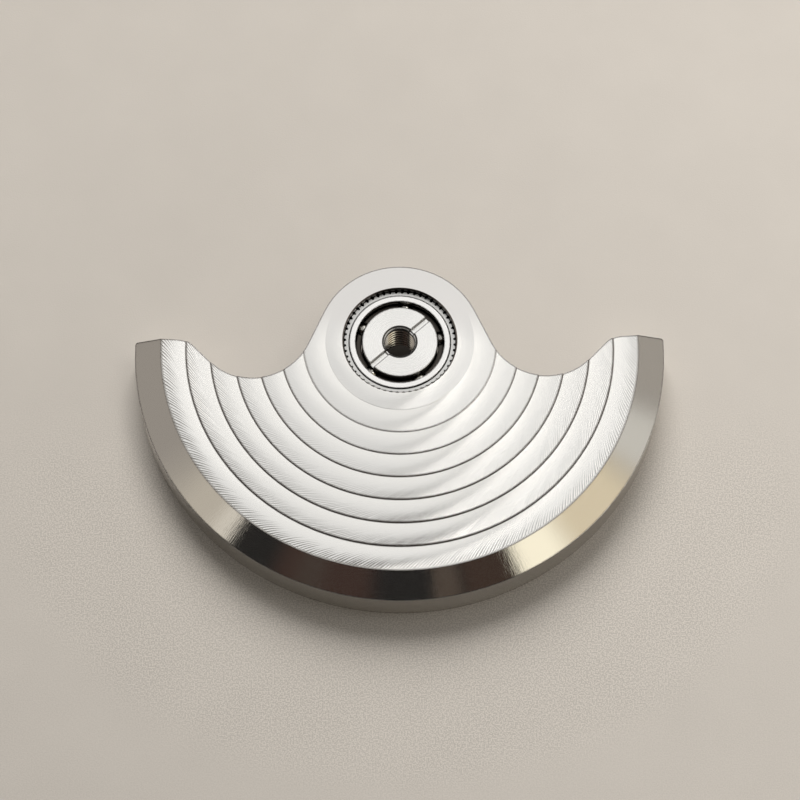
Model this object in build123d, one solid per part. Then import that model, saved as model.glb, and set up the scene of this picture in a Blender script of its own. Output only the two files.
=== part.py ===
"""Rotor of a self-winding watch: a half-round oscillating weight on a small ball bearing.

Lengths are in millimetres. +Z points up, out of the back of the watch, and the bearing axis is the Z axis.
The origin is where that axis meets the seat of the bearing core. The weight hangs towards -Y.
"""
import math
import os

from build123d import *

# Bearing, from the ball circle outwards and inwards
bearing_plane = 1.4       # height of the ball centres above the seat
race_cover = 0.6          # from the ball plane to the top of the bearing
ball_count = 5
ball_diameter = 0.7
ball_circle_radius = 1.94
first_ball_angle = 10     # degrees
race_clearance = 0.012    # between a ball and each of the four cones it runs on
race_relief = 0.03        # between a ball and the upright bottom of each race
race_opening = 0.308      # gap between the inner and the outer race, where the cage runs
race_wall = 0.05          # metal left outside the race
edge_break = 0.03
fit_gap = 0.005           # between pieces that are pressed together

# Slotted cone and core
thread_radius = 0.7
thread_chamfer = 0.1
sleeve_wall = 0.4
sleeve_height = 0.21      # above the ball plane
slot_width = 0.27
slot_depth = 0.2
slot_angle = 41.5         # degrees
core_foot_radius = 1.5
core_race_height = 0.78   # below the ball plane

# Toothed ring
tooth_count = 56
tooth_depth = 0.11
tooth_top_share = 0.38    # of the pitch
tooth_foot_share = 0.72   # of the pitch
ring_wall = 0.145         # from the closing ring's seat to the tooth roots
teeth_top_drop = 0.06     # below the top of the bearing
teeth_bottom = 0.3

# Ball cage
cage_side_gap = 0.045     # to each race lip
cage_ring_height = 0.2
cage_ball_gap = 0.03
cage_post_rise = 0.2      # above the ball plane

# Oscillating weight, seen from above
rotor_radius = 12.5
hub_flange_width = 0.39   # how far the hub's face reaches past its boss
hub_wall_slope = 65       # degrees, of the straight wall from the hub down into the bay
bay_floor_drop = 1.64     # from the X axis to the lowest point of the bay
bay_exit_slope = 46       # degrees, of the straight wall from the bay up to the tip
tip_width = 2.48          # along the tip's edge, before its inner corner is rounded
tip_angle = 2.35          # the weight's outer corners lie this many degrees above the X axis
tip_edge_slope = 3.1      # degrees
tip_corner_radius = 1.1
outer_corner_radius = 0.12

# Carrier plate
hub_rise = 0.22           # above the top of the bearing
hub_bore_chamfer = 0.05
hub_boss_wall = 0.865     # round the bore
hub_boss_height = 1.37    # below the hub's top
hub_land_width = 0.855    # from the bore to the first line
band_count = 6
band_width_growth = 0.022
first_step = 0.02
step_growth = 0.009
plate_drop = 0.665        # from the hub's top to the rim's flat band
plate_curve = 2.5         # power of the bell-shaped fall from hub to rim
plate_hub_thickness = 0.87
plate_edge_thickness = 0.57

# Heavy rim
rim_band_width = 1.2      # the flat band between the last line and the bevel
bevel_width = 1.24
bevel_drop = 0.62
rim_depth = 0.8           # below the seat of the bearing
ledge_width = 1.1         # under the edge of the plate

# Pins, pressed in from below, that hold the rim to the plate
pin_count = 6
pin_spread = 28           # degrees from one pin to the next
pin_radius = 0.25
pin_inset = 0.03          # above the rim's underside
pin_cover = 0.14          # plate left above a pin

# How far a cutting tool runs past the face it opens
overrun = 1.0

# Sizes that follow, from the balls outwards
ball_radius = ball_diameter / 2
race_half_width = ball_radius + race_relief
inner_race_radius = ball_circle_radius - race_opening / 2
outer_race_bore_radius = ball_circle_radius + race_opening / 2
closing_ring_radius = ball_circle_radius + race_half_width + race_wall
tooth_root_radius = closing_ring_radius + fit_gap + ring_wall
tooth_tip_radius = tooth_root_radius + tooth_depth
sleeve_radius = thread_radius + sleeve_wall
bearing_height = bearing_plane + race_cover

hub_bore_radius = tooth_tip_radius + fit_gap
hub_boss_radius = hub_bore_radius + hub_boss_wall
hub_radius = hub_boss_radius + hub_flange_width
hub_top = bearing_height + hub_rise

# Sizes that follow, from the rim inwards
bevel_inner_radius = rotor_radius - bevel_width
seat_radius = bevel_inner_radius - rim_band_width
rim_inner_radius = seat_radius - ledge_width
pin_circle_radius = seat_radius - ledge_width / 2
rim_top = hub_top - plate_drop
plate_edge_underside = rim_top - plate_edge_thickness


def band_edges():
    """Radii of the lines between the bands, from the hub land out to the plate's edge."""
    first = hub_bore_radius + hub_land_width
    growth = band_width_growth * (band_count - 1) / 2
    first_width = (seat_radius - first) / band_count - growth
    edges = [first]
    for band in range(band_count):
        edges.append(edges[-1] + first_width + band * band_width_growth)
    return edges


def plate_height(radius):
    """Height of the bell-shaped surface that the bands are cut into."""
    fall = (bevel_inner_radius - radius) / (bevel_inner_radius - hub_bore_radius)
    return hub_top - plate_drop * (1 - max(fall, 0) ** plate_curve)


def step_height(line):
    """Height of the small wall at a line, which faces outwards."""
    return first_step + line * step_growth


def point_on(radius, degrees, centre=(0, 0)):
    angle = math.radians(degrees)
    return (centre[0] + radius * math.cos(angle), centre[1] + radius * math.sin(angle))


def turned(points):
    """Solid turned about Z from a closed section of (radius, height) points."""
    section = Plane.XZ * make_face(Polyline(*points, close=True))
    return revolve(section, Axis.Z)


def rod(radius, bottom, top, centre=(0, 0)):
    """Upright cylinder between two heights."""
    return Pos(centre[0], centre[1], bottom) * extrude(Circle(radius), top - bottom)


def race_channel():
    """Ring-shaped tool that cuts both races: four cones at 45 degrees round the balls, with flats between them."""
    between_cones = 2 * (ball_radius + race_clearance)
    across = 2 * race_half_width
    channel = Rectangle(across, across) & Rot(0, 0, 45) * Rectangle(between_cones, between_cones)
    return revolve(Plane.XZ * Pos(ball_circle_radius, bearing_plane) * channel, Axis.Z)


def weight_outline():
    """Face with the outline of the whole weight: round hub, a bay on each side, two tips and the half-round rim."""
    touch = 90 - hub_wall_slope
    floor = -bay_floor_drop
    tip = point_on(rotor_radius, tip_angle)
    corner = point_on(-tip_width, tip_edge_slope, tip)
    # The bay is the circle that touches its floor and both its straight walls
    hub_side = math.radians(hub_wall_slope)
    exit_side = math.radians(bay_exit_slope)
    left_foot = (hub_radius - floor * math.cos(hub_side)) / math.sin(hub_side)
    right_foot = corner[0] - (corner[1] - floor) / math.tan(exit_side)
    bay_radius = (right_foot - left_foot) / (math.tan(hub_side / 2) + math.tan(exit_side / 2))
    bay = (left_foot + bay_radius * math.tan(hub_side / 2), floor + bay_radius)

    hub_touch = point_on(hub_radius, touch)
    bay_touch = point_on(bay_radius, touch + 180, bay)
    bay_exit = point_on(bay_radius, bay_exit_slope - 90, bay)
    back = tip_corner_radius * math.tan((exit_side - math.radians(tip_edge_slope)) / 2)
    corner_start = point_on(-back, bay_exit_slope, corner)
    corner_end = point_on(back, tip_edge_slope, corner)
    corner_centre = point_on(tip_corner_radius, bay_exit_slope - 90, corner_start)

    right = [
        CenterArc((0, 0), hub_radius, touch, 90 - touch),
        Line(hub_touch, bay_touch),
        CenterArc(bay, bay_radius, touch + 180, bay_exit_slope - 90 - touch + 180),
        Line(bay_exit, corner_start),
        CenterArc(corner_centre, tip_corner_radius, tip_edge_slope + 90, bay_exit_slope - tip_edge_slope),
        Line(corner_end, tip),
        CenterArc((0, 0), rotor_radius, -90, 90 + tip_angle),
    ]
    left = [mirror(edge, about=Plane.YZ) for edge in right]
    face = make_face(right + left)
    corners = [v for v in face.vertices() if abs(math.hypot(v.X, v.Y) - rotor_radius) < edge_break and v.Y > 0]
    return fillet(corners, outer_corner_radius)


def weight_prism():
    """The outline as a tall prism, to trim the turned plate and rim."""
    bottom = -rim_depth - overrun
    return Pos(0, 0, bottom) * extrude(weight_outline(), hub_top + overrun - bottom)


def pin_places():
    """Centres of the pins, spread evenly about the weight's middle."""
    middle = (pin_count - 1) / 2
    return [point_on(pin_circle_radius, (n - middle) * pin_spread - 90) for n in range(pin_count)]


def pin_top():
    return plate_height(pin_circle_radius) - pin_cover


def make_plate():
    """Carrier plate: hub land, bands that step down as they go outwards, and a boss round the bearing."""
    edges = band_edges()
    top = [
        (hub_bore_radius, hub_top - hub_bore_chamfer),
        (hub_bore_radius + hub_bore_chamfer, hub_top),
    ]
    for line, edge in enumerate(edges[:-1]):
        lift = step_height(line) / 2
        top += [(edge, plate_height(edge) + lift), (edge, plate_height(edge) - lift)]
    top.append((seat_radius - fit_gap, plate_height(seat_radius) + step_height(band_count) / 2))
    under = [
        (seat_radius - fit_gap, plate_edge_underside),
        (rim_inner_radius, plate_edge_underside),
        (hub_boss_radius, hub_top - plate_hub_thickness),
        (hub_boss_radius, hub_top - hub_boss_height),
        (hub_bore_radius, hub_top - hub_boss_height),
    ]
    plate = turned(top + under) & weight_prism()
    for place in pin_places():
        plate -= rod(pin_radius + fit_gap, 0, pin_top() + fit_gap, place)
    return plate


def make_rim():
    """Heavy rim: a ledge that carries the plate, one flat band, and a wide polished bevel."""
    band_inner = plate_height(seat_radius) - step_height(band_count) / 2
    ledge = plate_edge_underside - fit_gap
    wall_top = rim_top - bevel_drop
    rim_bottom = -rim_depth
    section = [
        (rim_inner_radius, ledge),
        (seat_radius, ledge),
        (seat_radius, band_inner),
        (bevel_inner_radius, rim_top),
        (rotor_radius, wall_top),
        (rotor_radius, rim_bottom),
        (rim_inner_radius, rim_bottom),
    ]
    rim = turned(section) & weight_prism()
    for place in pin_places():
        rim -= rod(pin_radius + fit_gap, rim_bottom - overrun, ledge + overrun, place)
    return rim


def make_pin(place):
    """Pin pressed up through the rim into a blind hole in the plate."""
    return rod(pin_radius, pin_inset - rim_depth, pin_top(), place)


def make_toothed_ring():
    """Toothed ring: its teeth grip the hub's bore and drive the winding train below. It holds the lower outer race."""
    top = bearing_height - teeth_top_drop
    counterbore = closing_ring_radius + fit_gap
    body = turned([
        (outer_race_bore_radius, teeth_bottom),
        (outer_race_bore_radius, bearing_plane),
        (counterbore, bearing_plane),
        (counterbore, top),
        (tooth_tip_radius + overrun, top),
        (tooth_tip_radius + overrun, teeth_bottom),
    ])
    pitch = 2 * math.pi * tooth_tip_radius / tooth_count
    foot_half = pitch * tooth_foot_share / 2
    top_half = pitch * tooth_top_share / 2
    tooth = make_face(Polyline(
        (tooth_root_radius - tooth_depth, foot_half),
        (tooth_root_radius, foot_half),
        (tooth_tip_radius, top_half),
        (tooth_tip_radius, -top_half),
        (tooth_root_radius, -foot_half),
        (tooth_root_radius - tooth_depth, -foot_half),
        close=True,
    ))
    gear = RegularPolygon(tooth_root_radius, tooth_count) + PolarLocations(0, tooth_count) * tooth
    return body & Pos(0, 0, teeth_bottom) * extrude(gear, top - teeth_bottom) - race_channel()


def make_closing_ring():
    """Polished ring that closes the bearing from above and holds the upper outer race."""
    ring = turned([
        (outer_race_bore_radius, bearing_plane),
        (outer_race_bore_radius, bearing_height),
        (closing_ring_radius, bearing_height),
        (closing_ring_radius, bearing_plane),
    ])
    return ring - race_channel()


def make_core():
    """Fixed core: a foot that seats on the movement, the lower inner race, and a sleeve that carries the cone."""
    race_bottom = bearing_plane - core_race_height
    core = turned([
        (thread_radius, 0),
        (core_foot_radius, 0),
        (core_foot_radius, race_bottom),
        (inner_race_radius, race_bottom),
        (inner_race_radius, bearing_plane),
        (sleeve_radius, bearing_plane),
        (sleeve_radius, bearing_plane + sleeve_height),
        (thread_radius, bearing_plane + sleeve_height),
    ])
    return core - race_channel()


def make_cone():
    """Slotted cone: the upper inner race, pressed over the core's sleeve."""
    socket = sleeve_radius + fit_gap
    roof = bearing_plane + sleeve_height + fit_gap
    cone = turned([
        (socket, bearing_plane),
        (inner_race_radius, bearing_plane),
        (inner_race_radius, bearing_height - edge_break),
        (inner_race_radius - edge_break, bearing_height),
        (thread_radius + thread_chamfer, bearing_height),
        (thread_radius, bearing_height - thread_chamfer),
        (thread_radius, roof),
        (socket, roof),
    ])
    length = 2 * (inner_race_radius + overrun)
    height = slot_depth + overrun
    slot = Pos(0, 0, bearing_height - slot_depth + height / 2) * Rot(0, 0, slot_angle) * Box(length, slot_width, height)
    return cone - race_channel() - slot


def ball_angles():
    return [first_ball_angle + n * 360 / ball_count for n in range(ball_count)]


def make_ball(degrees):
    x, y = point_on(ball_circle_radius, degrees)
    return Pos(x, y, bearing_plane) * Sphere(ball_radius)


def make_cage():
    """Crown cage: a ring under the balls, with a pocket for each ball whose posts close over it."""
    inner = inner_race_radius + cage_side_gap
    outer = outer_race_bore_radius - cage_side_gap
    pocket = ball_radius + cage_ball_gap
    top = bearing_plane + cage_post_rise
    bottom = bearing_plane - pocket - cage_ring_height
    cage = rod(outer, bottom, top) - rod(inner, bottom - overrun, top + overrun)
    cutter = Pos(ball_circle_radius, 0, bearing_plane) * Rot(0, 90, 0) * Cylinder(pocket, 2 * pocket)
    for degrees in ball_angles():
        cage -= Rot(0, 0, degrees) * cutter
    return cage


def save(shape, name):
    export_step(shape, f"parts/{name}.step")


os.makedirs("parts", exist_ok=True)
save(make_plate(), "carrier_plate")
save(make_rim(), "heavy_rim")
save(make_toothed_ring(), "toothed_ring")
save(make_closing_ring(), "closing_ring")
save(make_core(), "bearing_core")
save(make_cone(), "slotted_cone")
save(make_cage(), "ball_cage")
for number, degrees in enumerate(ball_angles(), 1):
    save(make_ball(degrees), f"ball_{number}")
for number, place in enumerate(pin_places(), 1):
    save(make_pin(place), f"rim_pin_{number}")
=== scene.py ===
"""Finishes, centre thread, floor, studio light and camera for the rotor of a self-winding watch.

Lengths are in metres, except where a name ends in _mm. +Z points up, the bearing axis is the Z axis,
and the weight hangs towards -Y. Angles about the axis are zero towards the middle of the weight.
"""
import math

import bmesh
import bpy
from bpy.props import FloatProperty, FloatVectorProperty, IntProperty, PointerProperty
from mathutils import Matrix, Vector


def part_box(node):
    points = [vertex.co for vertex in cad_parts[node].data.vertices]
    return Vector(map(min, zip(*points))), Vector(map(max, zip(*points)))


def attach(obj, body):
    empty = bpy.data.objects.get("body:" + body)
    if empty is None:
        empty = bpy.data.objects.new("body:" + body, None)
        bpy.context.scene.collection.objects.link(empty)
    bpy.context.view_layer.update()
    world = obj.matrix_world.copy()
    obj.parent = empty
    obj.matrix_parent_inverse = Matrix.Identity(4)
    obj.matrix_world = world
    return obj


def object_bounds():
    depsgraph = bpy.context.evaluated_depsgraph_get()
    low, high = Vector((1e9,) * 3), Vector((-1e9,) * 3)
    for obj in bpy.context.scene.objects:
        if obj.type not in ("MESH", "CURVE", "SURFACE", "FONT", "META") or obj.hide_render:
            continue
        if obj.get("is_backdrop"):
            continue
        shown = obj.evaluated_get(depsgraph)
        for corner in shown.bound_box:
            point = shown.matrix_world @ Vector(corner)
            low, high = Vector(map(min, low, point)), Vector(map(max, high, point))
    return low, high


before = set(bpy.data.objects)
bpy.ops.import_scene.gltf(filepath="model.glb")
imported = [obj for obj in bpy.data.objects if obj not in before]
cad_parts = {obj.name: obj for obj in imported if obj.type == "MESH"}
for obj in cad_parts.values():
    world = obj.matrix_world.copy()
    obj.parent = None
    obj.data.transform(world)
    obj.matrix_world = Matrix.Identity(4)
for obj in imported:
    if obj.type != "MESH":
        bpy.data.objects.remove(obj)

bl_info = {
    "name": "Watch rotor finishes",
    "version": (1, 0, 0),
    "blender": (4, 5, 0),
    "location": "3D View > Sidebar > Rotor",
    "description": "Dresses the rotor of a self-winding watch and sets its studio",
    "category": "Object",
}

MM = 0.001
PER_METRE_MM = 1000.0

# Sizes read from the CAD parts in model.glb
HUB_BORE_MM = (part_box("toothed_ring")[1].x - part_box("toothed_ring")[0].x) / 2 / MM
CLOSING_RADIUS_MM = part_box("closing_ring")[1].x / MM
PLATE_RADIUS_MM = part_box("carrier_plate")[1].x / MM
ROTOR_RADIUS_MM = -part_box("heavy_rim")[0].y / MM
RIM_TOP_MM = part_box("heavy_rim")[1].z / MM
BEARING_TOP_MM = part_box("slotted_cone")[1].z / MM
BALLS = sorted(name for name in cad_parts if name.startswith("ball_") and name != "ball_cage")
PINS = sorted(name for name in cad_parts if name.startswith("rim_pin_"))

# Sizes and counts that a box doesn't show
BORE_MM = 0.7
CONE_HOLE_MM = 0.8
TEETH = 56
BANDS = 7  # on the plate, with the hub's land

# Shades of places that little light reaches
BLACK = (0.0, 0.0, 0.0)
DARK_EDGE = (0.03, 0.027, 0.024)
DARK_GAP = (0.02, 0.018, 0.016)
DARK_BORE = (0.02, 0.017, 0.015)

# How dark the painted shade along an edge is, from 0 to 1
PLATE_EDGE_SHADE = 0.9
STEEL_EDGE_SHADE = 0.85

# Cosine between a face and its rounded normal, on a square edge and where the face is flat again
SQUARE_EDGE, FLAT_FACE = 0.95, 0.995
BEVEL_SAMPLES = 6


def size_mm(name, description, default):
    return FloatProperty(name=name, description=description, default=default, min=0.0)


def share_of_one(name, description, default):
    return FloatProperty(name=name, description=description, default=default, min=0.0, max=1.0,
                         subtype="FACTOR")


def length(name, description, default, precision=3):
    return FloatProperty(name=name, description=description, default=default, unit="LENGTH",
                         precision=precision)


def tint(name, description, default):
    return FloatVectorProperty(name=name, description=description, default=default, subtype="COLOR",
                               min=0.0, max=1.0)


class RotorBands(bpy.types.PropertyGroup):
    """Layout of the ground bands on the plate and the rim."""
    first_line_mm: size_mm("First line", "Radius of the line round the hub's land, in mm", 3.49)
    inner_edge_mm: size_mm("Inner edge", "Radius where the innermost band starts, in mm", 2.472)
    first_width_mm: size_mm("First width", "Width of the innermost band, in mm", 1.018)
    width_growth_mm: size_mm("Width growth", "How much wider each band is than the last, in mm", 0.022)
    bevel_inner_mm: size_mm("Bevel edge", "Radius where the polished bevel starts, in mm", 11.26)
    line_width_mm: size_mm("Line width", "Width of the dark line at the foot of each step, in mm", 0.055)
    stroke_spacing_mm: size_mm("Stroke spacing", "Distance between grinding strokes, in mm", 0.17)
    stroke_depth_mm: size_mm("Stroke depth", "Depth of the strokes, in mm", 0.010)
    lean: FloatProperty(
        name="Lean", description="How far the strokes lean at the outer edge of the innermost band",
        default=1.15, min=0.1, max=2.0)
    lean_power: FloatProperty(
        name="Lean power", description="Power of a band's number by which its strokes lean",
        default=-0.33, min=-1.0, max=0.0)
    outer_lean: FloatProperty(
        name="Outer lean", description="How far the strokes of the rim's band lean",
        default=1.1, min=0.1, max=2.0)


class RotorFinish(bpy.types.PropertyGroup):
    """Colours and roughness of the metals."""
    plate_colour: tint("Plate", "Silver plating of the ground bands", (0.90, 0.89, 0.865))
    # Painted shade: the plating darkens towards the coarse strokes at each band's outer edge
    coarse_shade_colour: tint("Coarse strokes", "The plating where the strokes are coarse", (0.765, 0.76, 0.747))
    stroke_colour: tint("Deep stroke", "Shade in the deepest strokes", (0.20, 0.19, 0.175))
    dull_colour: tint("Dull plate", "Faint clouds on the plating", (0.74, 0.72, 0.69))
    hub_colour: tint("Hub", "Far side of the hub and the plate's walls", (0.75, 0.735, 0.72))
    line_colour: tint("Lines", "Shade in the foot of each step and along edges", (0.07, 0.055, 0.045))
    bevel_colour: tint("Bevel", "Polished heavy metal", (0.74, 0.72, 0.69))
    dull_bevel_colour: tint("Dull bevel", "Faint clouds on the heavy metal", (0.62, 0.60, 0.57))
    steel_colour: tint("Cone", "Steel of the slotted cone", (0.86, 0.855, 0.84))
    gear_colour: tint("Gear", "Steel of the toothed ring", (0.62, 0.62, 0.61))
    ring_colour: tint("Closing ring", "Polished steel of the closing ring", (0.93, 0.92, 0.91))
    # Painted shade: the core's steel is darkened for the shade down in the hole
    core_shade_colour: tint("Core", "Steel of the core, down in the hole", (0.17, 0.155, 0.14))
    thread_colour: tint("Thread", "Steel of the centre thread", (0.66, 0.63, 0.59))
    ball_colour: tint("Balls", "Polished steel of the balls, in the shade", (0.34, 0.33, 0.31))
    cage_colour: tint("Cage", "Blackened cage", (0.075, 0.067, 0.06))
    pin_colour: tint("Pins", "Steel of the pins under the rim", (0.62, 0.62, 0.61))
    # The darker edges are painted shade along the edges, not wear
    edge_mm: size_mm("Edge", "Width of the worn, darker edges, in mm", 0.13)
    ground_roughness: share_of_one("Ground roughness", "Roughness of the ground bands", 0.19)
    ground_stretch: share_of_one("Ground stretch", "How far the strokes stretch a highlight", 1.0)
    bevel_roughness: share_of_one("Bevel roughness", "Roughness of the polished bevel", 0.09)


class RotorThread(bpy.types.PropertyGroup):
    """Thread in the centre hole."""
    pitch: length("Pitch", "Rise of the thread in one turn", 0.25 * MM, 5)
    depth: length("Depth", "Height of the ridge above the bore", 0.045 * MM, 6)
    steps: IntProperty(name="Steps", description="Segments in one turn", default=48, min=12)


class RotorStage(bpy.types.PropertyGroup):
    """Floor, studio, lamp and camera."""
    floor_colour: tint("Floor", "Plain pale surface under the rotor", (0.768, 0.720, 0.663))
    floor_radius: length("Floor radius", "Radius of the floor", 0.6)
    horizon_colour: tint("Horizon", "Glow of the studio near the floor", (0.80, 0.77, 0.72))
    ceiling_colour: tint("Ceiling", "Glow of the studio overhead", (0.22, 0.21, 0.20))
    backdrop_colour: tint("Backdrop", "What the camera sees past the floor", (0.66, 0.61, 0.54))
    lamp_size: length("Lamp size", "Width of the round lamp", 1.8)
    lamp_power: FloatProperty(name="Lamp power", description="Power of the lamp", default=66.0, unit="POWER")
    lamp_colour: tint("Lamp colour", "Colour of the lamp", (1.0, 0.98, 0.95))
    lamp_place: FloatVectorProperty(name="Lamp place", description="Where the lamp hangs",
                                    default=(-0.05, 1.85, 1.55), subtype="XYZ", unit="LENGTH")
    aim: FloatVectorProperty(
        name="Aim", description="Point level with the bearing's top that the camera looks at", size=2,
        default=(-0.025 * MM, -2.976 * MM), unit="LENGTH", precision=6)
    lens: FloatProperty(name="Lens", description="Focal length on a 36 mm sensor", default=143.7,
                        unit="CAMERA")
    distance: length("Distance", "From the camera to the point it looks at", 0.1488, 4)
    azimuth: FloatProperty(name="Azimuth", description="Camera's turn about Z from straight in front",
                           default=math.radians(-1.5), unit="ROTATION")
    elevation: FloatProperty(name="Elevation", description="Camera's height above the horizon",
                             default=math.radians(66.95), unit="ROTATION")
    roll: FloatProperty(name="Roll", description="Camera's turn about its own line of sight",
                        default=math.radians(0.92), unit="ROTATION")


class Nodes:
    """Short calls that add nodes to one tree and link them."""

    def __init__(self, tree):
        self.tree = tree

    def feed(self, value, socket):
        if isinstance(value, bpy.types.NodeSocket):
            self.tree.links.new(value, socket)
        else:
            socket.default_value = value

    def add(self, kind, inputs=None, **settings):
        node = self.tree.nodes.new(kind)
        for name, value in settings.items():
            setattr(node, name, value)
        for name, value in (inputs or {}).items():
            self.feed(value, node.inputs[name])
        return node

    def math(self, operation, *values):
        node = self.add("ShaderNodeMath", operation=operation)
        for socket, value in zip(node.inputs, values):
            self.feed(value, socket)
        return node.outputs[0]

    def times(self, *values):
        """Product of two or more values."""
        product = values[0]
        for value in values[1:]:
            product = self.math("MULTIPLY", product, value)
        return product

    def vector(self, operation, *values):
        node = self.add("ShaderNodeVectorMath", operation=operation)
        for socket, value in zip(node.inputs, values):
            self.feed(value, socket)
        return node.outputs["Value" if operation in ("LENGTH", "DOT_PRODUCT") else "Vector"]

    def scaled(self, vector, factor):
        node = self.add("ShaderNodeVectorMath", operation="SCALE")
        self.feed(vector, node.inputs[0])
        self.feed(factor, node.inputs["Scale"])
        return node.outputs["Vector"]

    def rise(self, value, start, end, low=0.0, high=1.0):
        """Smooth step from low at start to high at end."""
        inputs = {"Value": value, "From Min": start, "From Max": end, "To Min": low, "To Max": high}
        return self.add("ShaderNodeMapRange", inputs, interpolation_type="SMOOTHSTEP").outputs["Result"]

    def fall(self, value, start, end):
        """Smooth step from one at start to nothing at end."""
        return self.rise(value, start, end, low=1.0, high=0.0)

    def mix(self, share, first, second):
        """Colour between the first and the second."""
        node = self.add("ShaderNodeMix", data_type="RGBA")
        colours = [socket for socket in node.inputs if socket.type == "RGBA"]
        for socket, value in zip([node.inputs[0]] + colours, (share, rgba(first), rgba(second))):
            self.feed(value, socket)
        return [socket for socket in node.outputs if socket.type == "RGBA"][0]

    def parts(self, vector):
        node = self.add("ShaderNodeSeparateXYZ", {"Vector": vector})
        return node.outputs[0], node.outputs[1], node.outputs[2]

    def joined(self, x, y, z):
        return self.add("ShaderNodeCombineXYZ", {"X": x, "Y": y, "Z": z}).outputs[0]

    def noise(self, vector, scale, detail=2.0, roughness=0.5):
        inputs = {"Vector": vector, "Scale": scale, "Detail": detail, "Roughness": roughness}
        return self.add("ShaderNodeTexNoise", inputs).outputs["Fac"]

    def place_mm(self):
        """Place on the piece, in millimetres."""
        place = self.add("ShaderNodeTexCoord").outputs["Object"]
        mapping = self.add("ShaderNodeMapping", {"Vector": place, "Scale": (PER_METRE_MM,) * 3})
        return mapping.outputs["Vector"]

    def use(self, group, **inputs):
        node = self.add("ShaderNodeGroup", node_tree=group)
        for name, value in inputs.items():
            self.feed(value, node.inputs[name.replace("_", " ")])
        return node.outputs


def rgba(colour):
    """Four channels for a colour of three, and a socket as it is."""
    return colour if isinstance(colour, bpy.types.NodeSocket) else (*colour, 1.0)


def shaded(colour, factor):
    return tuple(min(channel * factor, 1.0) for channel in colour)


def new_group(name, inputs, outputs):
    """Empty shader group with named sockets, its nodes, what it is given and what it puts out."""
    group = bpy.data.node_groups.new(name, "ShaderNodeTree")
    for title, kind in inputs:
        group.interface.new_socket(name=title, in_out="INPUT", socket_type=kind)
    for title, kind in outputs:
        group.interface.new_socket(name=title, in_out="OUTPUT", socket_type=kind)
    nodes = Nodes(group)
    given = nodes.add("NodeGroupInput").outputs
    return group, nodes, given, nodes.add("NodeGroupOutput").inputs


VALUE = "NodeSocketFloat"
VECTOR = "NodeSocketVector"


def make_polar_group():
    """Radius and angle about the bearing axis."""
    group, nodes, given, out = new_group(
        "Rotor Polar", [("Place", VECTOR)], [("Radius", VALUE), ("Angle", VALUE)])
    x, y, _ = nodes.parts(given["Place"])
    nodes.feed(nodes.vector("LENGTH", nodes.joined(x, y, 0.0)), out["Radius"])
    nodes.feed(nodes.math("ARCTAN2", x, nodes.times(y, -1.0)), out["Angle"])
    return group


def make_band_group(bands):
    """Which band a radius lies on, and how far across it, from 0 inside to 1 outside."""
    group, nodes, given, out = new_group(
        "Rotor Bands", [("Radius", VALUE)],
        [("Number", VALUE), ("Share", VALUE), ("Outer Radius", VALUE)])
    # A band's inner edge lies at inner edge + number * width + growth * number * (number - 1) / 2
    growth = bands.width_growth_mm
    half = bands.first_width_mm - growth / 2
    beyond = nodes.math("MAXIMUM", nodes.math("SUBTRACT", given["Radius"], bands.inner_edge_mm), 0.0)
    root = nodes.math("SQRT", nodes.math("MULTIPLY_ADD", beyond, 2 * growth, half ** 2))
    place = nodes.math("MULTIPLY_ADD", root, 1 / growth, -half / growth)
    number = nodes.math("FLOOR", place)
    nodes.feed(number, out["Number"])
    nodes.feed(nodes.math("SUBTRACT", place, number), out["Share"])
    mean_width = (PLATE_RADIUS_MM - bands.inner_edge_mm) / BANDS
    outer = nodes.math("MULTIPLY_ADD", nodes.math("ADD", number, 1.0), mean_width, bands.inner_edge_mm)
    nodes.feed(outer, out["Outer Radius"])
    return group


def make_stroke_group():
    """Grinding strokes that leave a band's inner edge along it and lean out more and more across it."""
    group, nodes, given, out = new_group(
        "Rotor Strokes",
        [("Angle", VALUE), ("Share", VALUE), ("Outer Radius", VALUE), ("Width", VALUE), ("Lean", VALUE),
         ("Spacing", VALUE), ("Seed", VALUE)],
        [("Height", VALUE), ("Streak", VALUE)])
    least_share = 0.08  # keeps the logarithm in bounds
    seed_step = 7.3
    wander_across, wander_scale, wander_turns = 0.8, 0.35, 1.2
    streak_along, streak_across = 0.45, 0.7
    faintest, clearest = 0.35, 0.65
    streak_depth = 0.25

    share = nodes.math("MAXIMUM", given["Share"], least_share)
    sweep = nodes.times(nodes.math("LOGARITHM", share, math.e), given["Width"])
    sweep = nodes.math("DIVIDE", sweep, given["Lean"])
    along = nodes.math("MULTIPLY_ADD", given["Angle"], given["Outer Radius"], sweep)
    count = nodes.math("DIVIDE", along, given["Spacing"])
    seed = nodes.times(given["Seed"], seed_step)

    path = nodes.joined(count, nodes.times(given["Share"], wander_across), seed)
    wander = nodes.noise(path, wander_scale, detail=1.0)
    turns = nodes.times(nodes.math("MULTIPLY_ADD", wander, wander_turns, count), 2 * math.pi)
    comb = nodes.math("MULTIPLY_ADD", nodes.math("SINE", turns), 0.5, 0.5)

    slow = nodes.joined(nodes.times(count, streak_along), nodes.times(given["Share"], streak_across), seed)
    streak = nodes.rise(nodes.noise(slow, 1.0), faintest, clearest)
    deeper = nodes.math("MULTIPLY_ADD", streak, streak_depth, 1.0 - streak_depth)
    nodes.feed(nodes.times(comb, deeper), out["Height"])
    nodes.feed(streak, out["Streak"])
    return group


def make_grain_group():
    """Fine cloudy change over a metal surface, for its colour and roughness."""
    group, nodes, given, out = new_group(
        "Metal Grain", [("Place", VECTOR), ("Size", VALUE)], [("Cloud", VALUE), ("Speck", VALUE)])
    specks_to_a_cloud = 9.0
    scale = nodes.math("DIVIDE", 1.0, given["Size"])
    nodes.feed(nodes.noise(given["Place"], scale, detail=3.0, roughness=0.55), out["Cloud"])
    fine = nodes.times(scale, specks_to_a_cloud)
    nodes.feed(nodes.noise(given["Place"], fine, roughness=0.6), out["Speck"])
    return group


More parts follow.
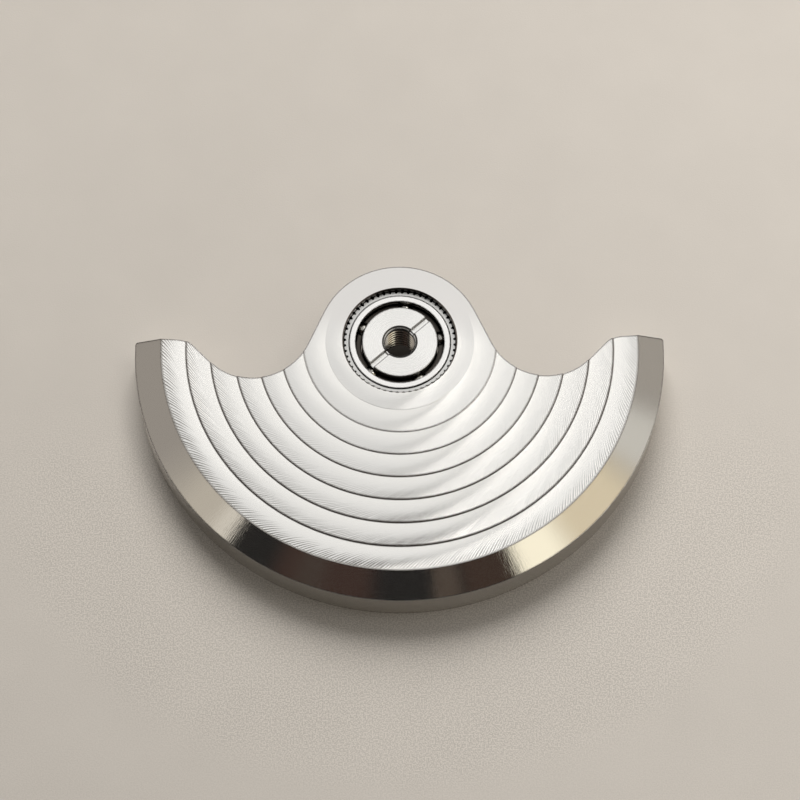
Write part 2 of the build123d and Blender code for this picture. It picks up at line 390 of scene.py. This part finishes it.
def make_turning_group():
    """Fine rings that a lathe leaves, by radius and height."""
    group, nodes, given, out = new_group(
        "Turning Lines", [("Radius", VALUE), ("Place", VECTOR), ("Spacing", VALUE)], [("Height", VALUE)])
    _, _, z = nodes.parts(given["Place"])
    line = nodes.joined(nodes.math("DIVIDE", given["Radius"], given["Spacing"]),
                        nodes.math("DIVIDE", z, given["Spacing"]), 0.0)
    nodes.feed(nodes.noise(line, 1.0, roughness=0.6), out["Height"])
    return group


def shared_group(name, make, *values):
    """The group with this name, made the first time it is asked for."""
    return bpy.data.node_groups.get(name) or make(*values)


def polar(nodes, place):
    """Radius and angle of a place about the bearing axis."""
    found = nodes.use(shared_group("Rotor Polar", make_polar_group), Place=place)
    return found["Radius"], found["Angle"]


def new_metal(name):
    """Material with a metallic shader, and the calls to add to it."""
    material = bpy.data.materials.new(name)
    material.use_nodes = True
    nodes = Nodes(material.node_tree)
    shader = material.node_tree.nodes["Principled BSDF"]
    shader.inputs["Metallic"].default_value = 1.0
    return material, nodes, shader


def stroke_direction(nodes, place, lean):
    """Direction across the strokes, in the world, along which they stretch a highlight."""
    x, y, _ = nodes.parts(place)
    outwards = nodes.vector("NORMALIZE", nodes.joined(x, y, 0.0))
    along = nodes.vector("CROSS_PRODUCT", (0.0, 0.0, 1.0), outwards)
    across = nodes.vector("NORMALIZE", nodes.vector("ADD", outwards, nodes.scaled(along, lean)))
    turned = nodes.add("ShaderNodeVectorTransform", {"Vector": across}, vector_type="VECTOR",
                       convert_from="OBJECT", convert_to="WORLD")
    return turned.outputs[0]


def rounded(nodes, radius_mm):
    """Normal that rounds the piece's edges, and a mask that is 1 on a square edge."""
    bevel = nodes.add("ShaderNodeBevel", {"Radius": radius_mm * MM}, samples=BEVEL_SAMPLES)
    normal = bevel.outputs["Normal"]
    flat = nodes.add("ShaderNodeNewGeometry").outputs["True Normal"]
    return normal, nodes.fall(nodes.vector("DOT_PRODUCT", normal, flat), SQUARE_EDGE, FLAT_FACE)


def levelled(nodes, amount):
    """Normal turned most of the way upright on faces that already look up, and a mask of these faces."""
    steep, level = 0.80, 0.95
    normal = nodes.add("ShaderNodeNewGeometry").outputs["Normal"]
    _, _, up = nodes.parts(normal)
    looks_up = nodes.rise(up, steep, level)
    lift = nodes.joined(0.0, 0.0, nodes.times(looks_up, amount))
    return nodes.vector("NORMALIZE", nodes.vector("ADD", normal, lift)), looks_up


def relief(nodes, height, depth_mm, normal):
    bump = nodes.add("ShaderNodeBump", {"Height": height, "Distance": depth_mm * MM, "Normal": normal})
    return bump.outputs["Normal"]


def dress(node_name, material):
    """Gives a CAD node's slots this material."""
    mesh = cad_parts[node_name].data
    for number in range(len(mesh.materials)):
        mesh.materials[number] = material


def stroke_force_and_light(nodes, angle):
    """How deep the strokes are cut and how dark they are painted: less on the right than on the left, a
    painted lightening of the side that catches the light.
    """
    full_until, least_from, least = -0.8, 0.7, 0.5
    return nodes.rise(angle, full_until, least_from, 1.0, least)


def stroke_growth(nodes, share):
    """How deep the strokes are cut across a band: shallow at its inner edge and full at its outer edge."""
    shallow_until, shallow = 0.2, 0.05
    return nodes.rise(share, shallow_until, 1.0, shallow, 1.0)


def ground_colour(nodes, finish, strokes, share, strength):
    """Silver with painted shade that darkens across a band as its strokes get coarser, and a painted dark
    line in each deep stroke.
    """
    coarse_from = 0.8
    streak_reach = 0.22
    shares, heights = (0.30, 0.75), (0.45, 0.80)
    silver = nodes.mix(nodes.rise(share, 0.0, coarse_from), finish.plate_colour, finish.coarse_shade_colour)
    reach = nodes.math("MULTIPLY_ADD", strokes["Streak"], -streak_reach, share)
    deep = nodes.times(nodes.rise(reach, *shares), nodes.rise(strokes["Height"], *heights))
    return nodes.mix(nodes.times(deep, strength), silver, finish.stroke_colour)


def bore_chamfer_shade(nodes, radius, angle):
    """Mask of painted shade on the chamfer of the hub's bore, which is dark where it stands over a gap
    between two teeth.
    """
    chamfer_end = HUB_BORE_MM + 0.075
    gap, tooth = -0.4, 0.4
    near_side, far_side = 0.6, 1.4
    near_shade = 0.15
    turns = nodes.math("COSINE", nodes.times(angle, float(TEETH)))
    # On the far side the painted shade runs all along
    over_tooth = nodes.rise(nodes.math("ABSOLUTE", angle), near_side, far_side, near_shade, 1.0)
    shade = nodes.rise(turns, gap, tooth, 1.0, over_tooth)
    return nodes.times(nodes.math("LESS_THAN", radius, chamfer_end), shade)


def plate_material(bands, finish):
    cloud_mm, cloud_share = 1.5, 0.10
    strokes_end = (1.5, 2.1)
    lift = 4.0
    coarse_mm, coarse_at_hub = (4.0, PLATE_RADIUS_MM + 0.5), 0.12
    stroke_shade = 0.6
    full_line_mm, line_shade = 6.0, 0.97
    clear_of_first_line_mm = (0.07, 0.12)
    clear_of_bore = HUB_BORE_MM + 0.2
    bore_wall = HUB_BORE_MM + 0.012
    roughness_spread = 0.03

    material, nodes, shader = new_metal("ground silver plate")
    place = nodes.place_mm()
    radius, angle = polar(nodes, place)
    band = nodes.use(shared_group("Rotor Bands", make_band_group, bands), Radius=radius)
    share = band["Share"]
    lean = nodes.math("POWER", nodes.math("MAXIMUM", band["Number"], 1.0), bands.lean_power)
    lean = nodes.times(lean, bands.lean)
    strokes = nodes.use(shared_group("Rotor Strokes", make_stroke_group), Angle=angle, Share=share,
                        Outer_Radius=band["Outer Radius"], Width=bands.first_width_mm, Lean=lean,
                        Spacing=bands.stroke_spacing_mm, Seed=band["Number"])
    grain = nodes.use(shared_group("Metal Grain", make_grain_group), Place=place, Size=cloud_mm)
    past_land = nodes.math("GREATER_THAN", band["Number"], 0.5)
    normal, looks_up = levelled(nodes, lift)
    # The far side of the hub is ground fine and even
    ground = nodes.times(nodes.fall(nodes.math("ABSOLUTE", angle), *strokes_end), looks_up)
    coarse = nodes.times(nodes.rise(radius, *coarse_mm, coarse_at_hub, 1.0), ground,
                         stroke_force_and_light(nodes, angle))

    line_share = bands.line_width_mm / bands.first_width_mm
    line = nodes.times(past_land, nodes.fall(share, line_share / 2, line_share),
                       nodes.rise(radius, bands.first_line_mm, full_line_mm, 0.0, line_shade))

    _, edge = rounded(nodes, finish.edge_mm)
    # Painted shade along the edges. The first step is too low to darken, and the bore has a chamfer with
    # painted shade of its own
    from_first = nodes.math("ABSOLUTE", nodes.math("SUBTRACT", radius, bands.first_line_mm))
    edge = nodes.times(edge, nodes.rise(from_first, *clear_of_first_line_mm),
                       nodes.math("GREATER_THAN", radius, clear_of_bore))
    edge = nodes.math("MAXIMUM", edge, bore_chamfer_shade(nodes, radius, angle))

    colour = ground_colour(nodes, finish, strokes, share, nodes.times(coarse, stroke_shade))
    colour = nodes.mix(nodes.times(grain["Cloud"], cloud_share), colour, finish.dull_colour)
    colour = nodes.mix(ground, finish.hub_colour, colour)
    dark = nodes.math("MAXIMUM", line, nodes.times(edge, PLATE_EDGE_SHADE))
    colour = nodes.mix(dark, colour, finish.line_colour)
    colour = nodes.mix(nodes.math("LESS_THAN", radius, bore_wall), colour, DARK_BORE)
    nodes.feed(colour, shader.inputs["Base Color"])
    nodes.feed(nodes.math("SUBTRACT", 1.0, line), shader.inputs["Metallic"])

    smoothest = finish.ground_roughness - roughness_spread / 2
    nodes.feed(nodes.math("MULTIPLY_ADD", strokes["Height"], roughness_spread, smoothest),
               shader.inputs["Roughness"])
    nodes.feed(nodes.times(ground, finish.ground_stretch), shader.inputs["Anisotropic"])
    nodes.feed(stroke_direction(nodes, place, nodes.times(share, lean)), shader.inputs["Tangent"])
    height = nodes.times(strokes["Height"], nodes.times(stroke_growth(nodes, share), coarse))
    nodes.feed(relief(nodes, height, bands.stroke_depth_mm, normal), shader.inputs["Normal"])
    return material


def rim_material(bands, finish):
    cloud_mm, cloud_share, speck_share = 2.0, 0.1, 0.02
    stroke_seed = 9.0
    ragged_mm, ragged_inset_mm = 0.13, 0.11
    top = RIM_TOP_MM - 0.05
    wall = ROTOR_RADIUS_MM - 0.02
    line_shade, notch_shade = 0.95, 0.6
    wall_roughness = 0.16
    polish_round, polish_out, polish_depth = 300.0, 2.0, 0.1

    material, nodes, shader = new_metal("ground band and polished bevel")
    place = nodes.place_mm()
    radius, angle = polar(nodes, place)
    _, _, z = nodes.parts(place)
    band_width = bands.bevel_inner_mm - PLATE_RADIUS_MM
    beyond = nodes.math("SUBTRACT", radius, PLATE_RADIUS_MM)
    share = nodes.math("DIVIDE", beyond, band_width)
    strokes = nodes.use(shared_group("Rotor Strokes", make_stroke_group), Angle=angle, Share=share,
                        Outer_Radius=bands.bevel_inner_mm, Width=band_width, Lean=bands.outer_lean,
                        Spacing=bands.stroke_spacing_mm, Seed=stroke_seed)
    grain = nodes.use(shared_group("Metal Grain", make_grain_group), Place=place, Size=cloud_mm)
    # The strokes end in small notches at the bevel
    ragged = nodes.math("MULTIPLY_ADD", strokes["Height"], ragged_mm, bands.bevel_inner_mm - ragged_inset_mm)
    on_top = nodes.math("GREATER_THAN", z, top)
    ground = nodes.times(on_top, nodes.math("LESS_THAN", radius, ragged))
    on_wall = nodes.math("GREATER_THAN", radius, wall)
    force = stroke_force_and_light(nodes, angle)

    foot = nodes.rise(beyond, bands.line_width_mm / 2, bands.line_width_mm, line_shade, 0.0)
    line = nodes.times(ground, foot)
    silver = ground_colour(nodes, finish, strokes, share, force)
    polished = nodes.mix(nodes.times(grain["Cloud"], cloud_share), finish.bevel_colour,
                         finish.dull_bevel_colour)
    notch = nodes.times(on_top, nodes.math("LESS_THAN", radius, bands.bevel_inner_mm))
    polished = nodes.mix(nodes.times(notch, notch_shade), polished, finish.stroke_colour)
    colour = nodes.mix(ground, polished, silver)
    # Painted shade along the edges
    _, edge = rounded(nodes, finish.edge_mm)
    dark = nodes.math("MAXIMUM", line, nodes.times(edge, PLATE_EDGE_SHADE))
    colour = nodes.mix(dark, colour, finish.line_colour)
    nodes.feed(colour, shader.inputs["Base Color"])
    nodes.feed(nodes.math("SUBTRACT", 1.0, line), shader.inputs["Metallic"])

    plain = nodes.math("MULTIPLY_ADD", on_wall, wall_roughness, finish.bevel_roughness)
    plain = nodes.math("MULTIPLY_ADD", grain["Speck"], speck_share, plain)
    step = nodes.times(ground, nodes.math("SUBTRACT", finish.ground_roughness, plain))
    nodes.feed(nodes.math("ADD", plain, step), shader.inputs["Roughness"])
    shader.inputs["Anisotropic"].default_value = finish.ground_stretch
    lean = nodes.times(share, nodes.times(ground, bands.outer_lean))
    nodes.feed(stroke_direction(nodes, place, lean), shader.inputs["Tangent"])

    deep = nodes.times(stroke_growth(nodes, share), nodes.times(ground, force))
    # Polishing leaves faint streaks down the bevel
    fan = nodes.noise(nodes.joined(nodes.times(angle, polish_round), nodes.times(radius, polish_out), 0.0),
                      1.0)
    fan = nodes.times(fan, nodes.math("MULTIPLY_ADD", ground, -polish_depth, polish_depth))
    height = nodes.math("MULTIPLY_ADD", strokes["Height"], deep, fan)
    normal = nodes.add("ShaderNodeNewGeometry").outputs["Normal"]
    nodes.feed(relief(nodes, height, bands.stroke_depth_mm, normal), shader.inputs["Normal"])
    return material


def turned_material(name, colour, roughness, stretch=0.0, spacing_mm=0.03, cut_mm=0.0006,
                    shaded_mm=None, edge_mm=0.09, steep_shade=0.0, ring_mm=None):
    """Steel with faint rings from the lathe, with painted shade along its edges, on its walls, on one ring
    and outside the shaded radii.
    """
    cloud_mm, cloud_share, cloud_shade = 0.8, 0.2, 0.8
    ring_half_mm, ring_shade = (0.03, 0.05), 0.9
    wall, slope = 0.3, 0.6
    roughness_spread = 0.08

    material, nodes, shader = new_metal(name)
    place = nodes.place_mm()
    radius, _ = polar(nodes, place)
    rings = nodes.use(shared_group("Turning Lines", make_turning_group), Radius=radius, Place=place,
                      Spacing=spacing_mm)
    grain = nodes.use(shared_group("Metal Grain", make_grain_group), Place=place, Size=cloud_mm)
    shade = nodes.mix(nodes.times(grain["Cloud"], cloud_share), colour, shaded(colour, cloud_shade))
    if shaded_mm:
        inner, outer = shaded_mm
        painted_gap = nodes.math("MAXIMUM", nodes.math("LESS_THAN", radius, inner),
                            nodes.math("GREATER_THAN", radius, outer))
        shade = nodes.mix(painted_gap, shade, DARK_GAP)
    if ring_mm:
        from_ring = nodes.math("ABSOLUTE", nodes.math("SUBTRACT", radius, ring_mm))
        shade = nodes.mix(nodes.rise(from_ring, *ring_half_mm, ring_shade, 0.0), shade, DARK_EDGE)
    geometry = nodes.add("ShaderNodeNewGeometry").outputs
    normal = geometry["Normal"]
    _, _, up = nodes.parts(geometry["True Normal"])
    steep = nodes.rise(nodes.math("ABSOLUTE", up), wall, slope, steep_shade, 0.0)
    shade = nodes.mix(steep, shade, DARK_EDGE)
    if edge_mm:
        normal, edge = rounded(nodes, edge_mm)
        shade = nodes.mix(nodes.times(edge, STEEL_EDGE_SHADE), shade, DARK_EDGE)
    nodes.feed(shade, shader.inputs["Base Color"])
    smoothest = roughness - roughness_spread / 2
    nodes.feed(nodes.math("MULTIPLY_ADD", rings["Height"], roughness_spread, smoothest),
               shader.inputs["Roughness"])
    if stretch:
        shader.inputs["Anisotropic"].default_value = stretch
        nodes.feed(stroke_direction(nodes, place, 0.0), shader.inputs["Tangent"])
    nodes.feed(relief(nodes, rings["Height"], cut_mm, normal), shader.inputs["Normal"])
    return material


class ROTOR_OT_finish_plate(bpy.types.Operator):
    """Give the carrier plate its ground bands"""
    bl_idname = "rotor.finish_plate"
    bl_label = "Finish Plate"

    def execute(self, context):
        dress("carrier_plate", plate_material(context.scene.rotor_bands, context.scene.rotor_finish))
        return {"FINISHED"}


class ROTOR_OT_finish_rim(bpy.types.Operator):
    """Give the heavy rim its ground band and polished bevel"""
    bl_idname = "rotor.finish_rim"
    bl_label = "Finish Rim"

    def execute(self, context):
        dress("heavy_rim", rim_material(context.scene.rotor_bands, context.scene.rotor_finish))
        return {"FINISHED"}


class ROTOR_OT_finish_pins(bpy.types.Operator):
    """Give the pins under the rim their turned steel"""
    bl_idname = "rotor.finish_pins"
    bl_label = "Finish Pins"

    def execute(self, context):
        steel = turned_material("pin steel", context.scene.rotor_finish.pin_colour, roughness=0.3)
        for name in PINS:
            dress(name, steel)
        return {"FINISHED"}


class ROTOR_OT_finish_bearing(bpy.types.Operator):
    """Give the rings, the cone and the core of the bearing their steels"""
    bl_idname = "rotor.finish_bearing"
    bl_label = "Finish Bearing"

    def execute(self, context):
        finish = context.scene.rotor_finish
        # Painted shade falls outside these radii: in the centre hole, in the gap round the closing ring and
        # between the teeth
        ring_gap_mm, tooth_lip_mm, bore_wall_mm = 0.045, 0.025, 0.015
        hole_mm = (BORE_MM + bore_wall_mm, ROTOR_RADIUS_MM)
        seen_mm = (CLOSING_RADIUS_MM + ring_gap_mm, HUB_BORE_MM - tooth_lip_mm)
        dress("toothed_ring", turned_material(
            "satin gear steel", finish.gear_colour, roughness=0.34, shaded_mm=seen_mm, edge_mm=0.0,
            steep_shade=0.7))
        dress("closing_ring", turned_material(
            "polished ring steel", finish.ring_colour, roughness=0.16, steep_shade=0.8))
        dress("slotted_cone", turned_material(
            "satin cone steel", finish.steel_colour, roughness=0.27, stretch=0.4, cut_mm=0.00015,
            shaded_mm=hole_mm, steep_shade=0.9, ring_mm=CONE_HOLE_MM))
        dress("bearing_core", turned_material(
            "core steel", finish.core_shade_colour, roughness=0.35, shaded_mm=hole_mm))
        return {"FINISHED"}


class ROTOR_OT_finish_balls(bpy.types.Operator):
    """Give the balls and their cage polished and blackened steel"""
    bl_idname = "rotor.finish_balls"
    bl_label = "Finish Balls"

    def execute(self, context):
        finish = context.scene.rotor_finish
        bright = turned_material("polished ball steel", finish.ball_colour, roughness=0.08, cut_mm=0.0001,
                                 edge_mm=0.0)
        for name in BALLS:
            dress(name, bright)
        dress("ball_cage", turned_material("blackened cage steel", finish.cage_colour, roughness=0.4))
        return {"FINISHED"}


class ROTOR_OT_cut_thread(bpy.types.Operator):
    """Add the thread's ridge inside the centre hole"""
    bl_idname = "rotor.cut_thread"
    bl_label = "Cut Thread"

    def execute(self, context):
        thread = context.scene.rotor_thread
        bore = BORE_MM * MM
        overlap = 0.01 * MM
        start = 0.12 * MM
        rise = 1.62 * MM
        ridge_share, crest_share = 0.145, 0.2
        half = thread.pitch * ridge_share
        crest = half * crest_share
        mesh = bmesh.new()
        corners = [(bore + overlap, -half), (bore - thread.depth, -crest), (bore - thread.depth, crest),
                   (bore + overlap, half)]
        section = mesh.faces.new(
            [mesh.verts.new((radius, 0.0, start + height)) for radius, height in corners])
        steps = round(rise / thread.pitch * thread.steps)
        bmesh.ops.spin(mesh, geom=[section, *section.edges, *section.verts], cent=(0.0, 0.0, 0.0),
                       axis=(0.0, 0.0, 1.0), dvec=(0.0, 0.0, thread.pitch / thread.steps),
                       angle=2 * math.pi * steps / thread.steps, steps=steps, use_merge=False,
                       use_duplicate=False)
        bmesh.ops.recalc_face_normals(mesh, faces=mesh.faces)
        piece = new_piece("centre_thread", mesh)
        steel = turned_material("thread steel", context.scene.rotor_finish.thread_colour, roughness=0.19,
                                edge_mm=0.0)
        piece.data.materials.append(steel)
        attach(piece, "core")
        return {"FINISHED"}


def new_piece(name, mesh):
    """Object at the origin that holds this bmesh, smooth apart from its sharp edges."""
    data = bpy.data.meshes.new(name)
    mesh.to_mesh(data)
    mesh.free()
    data.polygons.foreach_set("use_smooth", [True] * len(data.polygons))
    data.set_sharp_from_angle(angle=math.radians(30))
    piece = bpy.data.objects.new(name, data)
    bpy.context.scene.collection.objects.link(piece)
    return piece


def floor_material(stage):
    """Matt pale floor. Its lengths are in millimetres."""
    grains_to_a_mm, grain_detail, grain_roughness = 15.0, 1.0, 0.6
    grain_shade, grain_range = 0.72, (0.30, 0.70)
    crisp_in_front, crisp_behind = 3.2, 0.06
    front, back = -13.0, 0.0
    crisp_near, faint_away, faint = 16.5, 22.0, 0.10
    cloud_scale, cloud_share, cloud_tint = 0.35, 0.3, 1.05
    under_centre, under_squash = 0.77, 0.5
    under_shade, under_range = (0.10, 0.09, 0.08), (0.22, 0.60)
    matt, sheen = 0.85, 0.25
    bump_strength, bump_depth = 0.3, 0.02

    material = bpy.data.materials.new("plain pale floor")
    material.use_nodes = True
    nodes = Nodes(material.node_tree)
    shader = material.node_tree.nodes["Principled BSDF"]
    place = nodes.place_mm()
    x, y, _ = nodes.parts(place)
    away = nodes.vector("LENGTH", nodes.joined(x, y, 0.0))
    fine = nodes.noise(place, grains_to_a_mm, grain_detail, grain_roughness)
    broad = nodes.noise(place, cloud_scale)

    # The grain is crisp in front of the rotor and fades away from it
    crisp = nodes.times(nodes.rise(y, front, back, crisp_in_front, crisp_behind),
                        nodes.rise(away, crisp_near, faint_away, 1.0, faint))
    grains = nodes.math("SUBTRACT", nodes.rise(fine, *grain_range), 0.5)
    grains = nodes.math("MULTIPLY_ADD", grains, crisp, 0.5)
    colour = nodes.mix(grains, shaded(stage.floor_colour, grain_shade), stage.floor_colour)
    colour = nodes.mix(nodes.times(broad, cloud_share), colour, shaded(stage.floor_colour, cloud_tint))

    # Painted shade: darker near the rotor, as a soft shadow, and to the left and to the front, as the light
    # falls off: where, from and to, and how much
    for where, start, end, darkest in ((away, 12.0, 24.0, 0.025), (x, -24.0, 22.0, 0.13),
                                       (y, -30.0, 20.0, 0.17)):
        colour = nodes.mix(nodes.rise(where, start, end, darkest, 0.0), colour, BLACK)

    # Deep shade below the bearing, for the view down the centre hole
    seen = nodes.joined(nodes.times(x, under_squash), nodes.math("SUBTRACT", y, under_centre), 0.0)
    colour = nodes.mix(nodes.rise(nodes.vector("LENGTH", seen), *under_range), under_shade, colour)
    nodes.feed(colour, shader.inputs["Base Color"])
    shader.inputs["Roughness"].default_value = matt
    shader.inputs["Specular IOR Level"].default_value = sheen
    bump = nodes.add("ShaderNodeBump", {"Height": fine, "Strength": bump_strength,
                                        "Distance": bump_depth * MM})
    nodes.feed(bump.outputs[0], shader.inputs["Normal"])
    return material


def add_floor(stage):
    mesh = bmesh.new()
    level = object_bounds()[0][2]
    bmesh.ops.create_circle(mesh, cap_ends=True, segments=96, radius=stage.floor_radius,
                            matrix=Matrix.Translation((0.0, 0.0, level)))
    floor = new_piece("floor", mesh)
    floor.data.materials.append(floor_material(stage))
    floor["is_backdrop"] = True


# Panels of the studio, placed by the faces of the rotor that show them to the camera. Each has its
# bearing from the weight's middle in degrees, from, to and blur, the slope of the face, from, to and
# blur, and its brightness. A later panel covers an earlier one.
PANELS = [
    ((-200, 200, 4), (-1.0, 0.30, 0.08), (0.955, 0.945, 0.925)),
    ((-200, 200, 4), (0.28, 0.42, 0.05), (0.80, 0.79, 0.77)),
    ((85, 150, 12), (0.10, 0.42, 0.05), (1.15, 1.13, 1.10)),
    ((-150, -140, 0.8), (0.12, 0.42, 0.03), (0.02, 0.019, 0.018)),
    ((-95, -60, 5), (0.38, 0.75, 0.05), (0.375, 0.345, 0.31)),
    ((-60, -40, 8), (0.38, 0.75, 0.05), (0.60, 0.55, 0.47)),
    ((-46, -41, 2), (0.38, 0.75, 0.05), (0.80, 0.75, 0.66)),
    ((27, 41, 4), (0.15, 0.42, 0.03), (0.05, 0.05, 0.05)),
    ((40, 125, 0.6), (0.20, 0.42, 0.02), (4.9, 4.75, 4.55)),
    ((66, 150, 13), (0.22, 0.44, 0.02), (2.2, 2.15, 2.07)),
    ((60, 78, 6), (0.40, 0.75, 0.03), (0.68, 0.66, 0.61)),
    ((36, 60, 6), (0.40, 0.75, 0.03), (0.80, 0.69, 0.49)),
    ((76, 98, 6), (0.40, 0.75, 0.03), (0.40, 0.37, 0.33)),
    ((25.5, 39, 4), (0.38, 0.75, 0.03), (1.30, 1.22, 0.98)),
    ((-41, 26, 1.0), (0.38, 1.10, 0.06), (0.013, 0.012, 0.011)),
    ((-29, -7, 3), (0.38, 0.75, 0.05), (0.052, 0.030, 0.023)),
    ((-24, -18, 2), (0.38, 0.75, 0.05), (0.062, 0.045, 0.036)),
    ((7, 13, 0.6), (0.38, 0.75, 0.05), (0.088, 0.067, 0.052)),
    ((14, 25, 1), (0.38, 0.75, 0.05), (0.052, 0.032, 0.023)),
]


def between(nodes, value, low, high, blur):
    """Mask of the values from low to high, with soft ends."""
    above = nodes.rise(value, low - blur, low + blur)
    return nodes.times(above, nodes.fall(value, high - blur, high + blur))


def set_world(stage):
    """Studio of soft panels for the reflections, a dimmer one for plain light, and the backdrop."""
    horizon_end, ceiling_start = 0.10, 0.50
    dimmed = 0.58
    world = bpy.data.worlds.new("soft studio")
    bpy.context.scene.world = world
    world.use_nodes = True
    nodes = Nodes(world.node_tree)
    background = world.node_tree.nodes["Background"]
    direction = nodes.vector("NORMALIZE", nodes.add("ShaderNodeTexCoord").outputs["Generated"])
    _, _, height = nodes.parts(direction)
    facing = nodes.vector("ADD", direction, tuple(camera_axes(stage)[2]))
    _, _, upwards = nodes.parts(facing)
    reach, bearing = polar(nodes, facing)
    slope = nodes.math("DIVIDE", reach, upwards)
    colour = nodes.mix(nodes.rise(height, horizon_end, ceiling_start), stage.horizon_colour,
                       stage.ceiling_colour)
    for turned, tilted, glow in PANELS:
        mask = nodes.times(between(nodes, bearing, *(math.radians(degrees) for degrees in turned)),
                           between(nodes, slope, *tilted))
        colour = nodes.mix(mask, colour, glow)
    path = nodes.add("ShaderNodeLightPath").outputs
    colour = nodes.mix(nodes.times(path["Is Diffuse Ray"], dimmed), colour, BLACK)
    colour = nodes.mix(path["Is Camera Ray"], colour, stage.backdrop_colour)
    nodes.feed(colour, background.inputs["Color"])
    background.inputs["Strength"].default_value = 1.0


def add_key_light(stage):
    """Lamp behind the rotor that gives it a soft shadow in front."""
    light = bpy.data.lights.new("key", "AREA")
    light.shape = "DISK"
    light.size = stage.lamp_size
    light.energy = stage.lamp_power
    light.color = stage.lamp_colour
    lamp = bpy.data.objects.new("key", light)
    place = Vector(stage.lamp_place)
    lamp.location = place
    lamp.rotation_euler = place.to_track_quat("Z", "Y").to_euler()
    lamp.visible_glossy = False
    bpy.context.scene.collection.objects.link(lamp)


def camera_axes(stage):
    """Right, up and backward directions of the camera before its roll."""
    cos_e, sin_e = math.cos(stage.elevation), math.sin(stage.elevation)
    cos_a, sin_a = math.cos(stage.azimuth), math.sin(stage.azimuth)
    back = Vector((sin_a * cos_e, -cos_a * cos_e, sin_e))
    right = Vector((cos_a, sin_a, 0.0))
    return right, back.cross(right), back


def add_camera(stage):
    camera = bpy.data.cameras.new("camera")
    camera.lens = stage.lens
    camera.clip_start = 1 * MM
    camera.clip_end = 10.0
    eye = bpy.data.objects.new("camera", camera)
    right, up, back = camera_axes(stage)
    target = Vector((*stage.aim, BEARING_TOP_MM * MM))
    turn = Matrix((right, up, back)).transposed().to_4x4()
    eye.matrix_world = (Matrix.Translation(target + back * stage.distance) @ turn
                        @ Matrix.Rotation(stage.roll, 4, "Z"))
    bpy.context.scene.collection.objects.link(eye)
    bpy.context.scene.camera = eye


class ROTOR_OT_set_stage(bpy.types.Operator):
    """Add the floor, the light and the camera"""
    bl_idname = "rotor.set_stage"
    bl_label = "Set Stage"

    def execute(self, context):
        stage = context.scene.rotor_stage
        add_floor(stage)
        set_world(stage)
        add_key_light(stage)
        add_camera(stage)
        context.scene.view_settings.view_transform = "Standard"
        return {"FINISHED"}


class ROTOR_PT_panel(bpy.types.Panel):
    """Rotor finishes in the sidebar"""
    bl_idname = "ROTOR_PT_panel"
    bl_label = "Rotor"
    bl_space_type = "VIEW_3D"
    bl_region_type = "UI"
    bl_category = "Rotor"

    def draw(self, context):
        for operator in OPERATORS:
            self.layout.operator(operator.bl_idname)
        for name in SETTINGS:
            settings = getattr(context.scene, name)
            for field in settings.bl_rna.properties:
                if field.identifier not in ("rna_type", "name"):
                    self.layout.prop(settings, field.identifier)


SETTINGS = {
    "rotor_bands": RotorBands,
    "rotor_finish": RotorFinish,
    "rotor_thread": RotorThread,
    "rotor_stage": RotorStage,
}
OPERATORS = [
    ROTOR_OT_finish_plate,
    ROTOR_OT_finish_rim,
    ROTOR_OT_finish_pins,
    ROTOR_OT_finish_bearing,
    ROTOR_OT_finish_balls,
    ROTOR_OT_cut_thread,
    ROTOR_OT_set_stage,
]


def register():
    for kind in (*SETTINGS.values(), *OPERATORS, ROTOR_PT_panel):
        bpy.utils.register_class(kind)
    for name, kind in SETTINGS.items():
        setattr(bpy.types.Scene, name, PointerProperty(type=kind))


def unregister():
    for name in SETTINGS:
        delattr(bpy.types.Scene, name)
    for kind in reversed((*SETTINGS.values(), *OPERATORS, ROTOR_PT_panel)):
        bpy.utils.unregister_class(kind)


def main():
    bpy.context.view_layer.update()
    register()
    bpy.ops.rotor.finish_plate()
    bpy.ops.rotor.finish_rim()
    bpy.ops.rotor.finish_pins()
    bpy.ops.rotor.finish_bearing()
    bpy.ops.rotor.finish_balls()
    bpy.ops.rotor.cut_thread()
    bpy.ops.rotor.set_stage()


if __name__ == "__main__":
    main()
